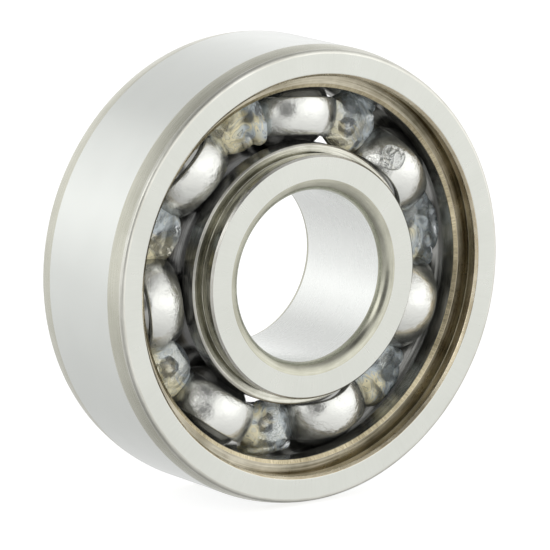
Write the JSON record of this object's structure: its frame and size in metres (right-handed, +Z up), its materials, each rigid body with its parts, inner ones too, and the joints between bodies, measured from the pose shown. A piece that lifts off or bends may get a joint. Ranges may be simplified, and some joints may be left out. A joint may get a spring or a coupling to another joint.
{
  "type": "deep groove ball bearing",
  "caption": "Open single-row deep-groove ball bearing: two grooved rings, balls in a riveted pressed-steel ribbon cage, and clear grease on the cage.",
  "frame": {"origin": "centre of the bearing: on its axis, half way between its faces", "axes": "+Y along the bearing's axis with the front face towards -Y, +Z up, +X to the right seen from the front"},
  "size_m": [0.032, 0.01, 0.032],
  "materials": {
    "ring_steel": "ground and lapped bearing steel, satin",
    "ball_steel": "mirror-polished bearing steel",
    "cage_steel": "bright tumbled pressed steel",
    "rivet_steel": "formed steel rivet, bright",
    "grease": "translucent wet grease"
  },
  "bodies": {
    "outer_ring": {"outer_ring": "ring_steel"},
    "inner_ring": {"inner_ring": "ring_steel"},
    "cage": {"cage_front": "cage_steel", "cage_back": "cage_steel", "rivet_1": "rivet_steel", "rivet_2": "rivet_steel", "rivet_3": "rivet_steel", "rivet_4": "rivet_steel", "rivet_5": "rivet_steel", "rivet_6": "rivet_steel", "rivet_7": "rivet_steel", "grease_front_1": "grease", "grease_front_2": "grease", "grease_front_3": "grease", "grease_front_4": "grease", "grease_front_5": "grease", "grease_front_6": "grease", "grease_front_7": "grease", "grease_back_1": "grease", "grease_back_2": "grease", "grease_back_3": "grease", "grease_back_4": "grease", "grease_back_5": "grease", "grease_back_6": "grease", "grease_back_7": "grease"},
    "ball_1": {"ball_1": "ball_steel"},
    "ball_2": {"ball_2": "ball_steel"},
    "ball_3": {"ball_3": "ball_steel"},
    "ball_4": {"ball_4": "ball_steel"},
    "ball_5": {"ball_5": "ball_steel"},
    "ball_6": {"ball_6": "ball_steel"},
    "ball_7": {"ball_7": "ball_steel"}
  },
  "joints": [
    {"name": "inner_ring_spin", "type": "hinge", "parent": "outer_ring", "child": "inner_ring", "pos_m": [0, 0, 0], "axis": [0, 1, 0], "continuous": true},
    {"name": "cage_spin", "type": "hinge", "parent": "outer_ring", "child": "cage", "pos_m": [0, 0, 0], "axis": [0, 1, 0], "continuous": true},
    {"name": "ball_1_roll", "type": "hinge", "parent": "cage", "child": "ball_1", "pos_m": [0.00115, 0, 0.01094], "axis": [0, 1, 0], "continuous": true},
    {"name": "ball_2_roll", "type": "hinge", "parent": "cage", "child": "ball_2", "pos_m": [0.00927, 0, 0.00592], "axis": [0, 1, 0], "continuous": true},
    {"name": "ball_3_roll", "type": "hinge", "parent": "cage", "child": "ball_3", "pos_m": [0.01041, 0, -0.00356], "axis": [0, 1, 0], "continuous": true},
    {"name": "ball_4_roll", "type": "hinge", "parent": "cage", "child": "ball_4", "pos_m": [0.00371, 0, -0.01036], "axis": [0, 1, 0], "continuous": true},
    {"name": "ball_5_roll", "type": "hinge", "parent": "cage", "child": "ball_5", "pos_m": [-0.00578, 0, -0.00936], "axis": [0, 1, 0], "continuous": true},
    {"name": "ball_6_roll", "type": "hinge", "parent": "cage", "child": "ball_6", "pos_m": [-0.01092, 0, -0.00131], "axis": [0, 1, 0], "continuous": true},
    {"name": "ball_7_roll", "type": "hinge", "parent": "cage", "child": "ball_7", "pos_m": [-0.00784, 0, 0.00772], "axis": [0, 1, 0], "continuous": true}
  ],
  "couplings": [
    {"joint": "cage_spin", "follows": "inner_ring_spin", "ratio": 0.36471},
    {"joint": "ball_1_roll", "follows": "inner_ring_spin", "ratio": -1.7125},
    {"joint": "ball_2_roll", "follows": "inner_ring_spin", "ratio": -1.7125},
    {"joint": "ball_3_roll", "follows": "inner_ring_spin", "ratio": -1.7125},
    {"joint": "ball_4_roll", "follows": "inner_ring_spin", "ratio": -1.7125},
    {"joint": "ball_5_roll", "follows": "inner_ring_spin", "ratio": -1.7125},
    {"joint": "ball_6_roll", "follows": "inner_ring_spin", "ratio": -1.7125},
    {"joint": "ball_7_roll", "follows": "inner_ring_spin", "ratio": -1.7125}
  ]
}
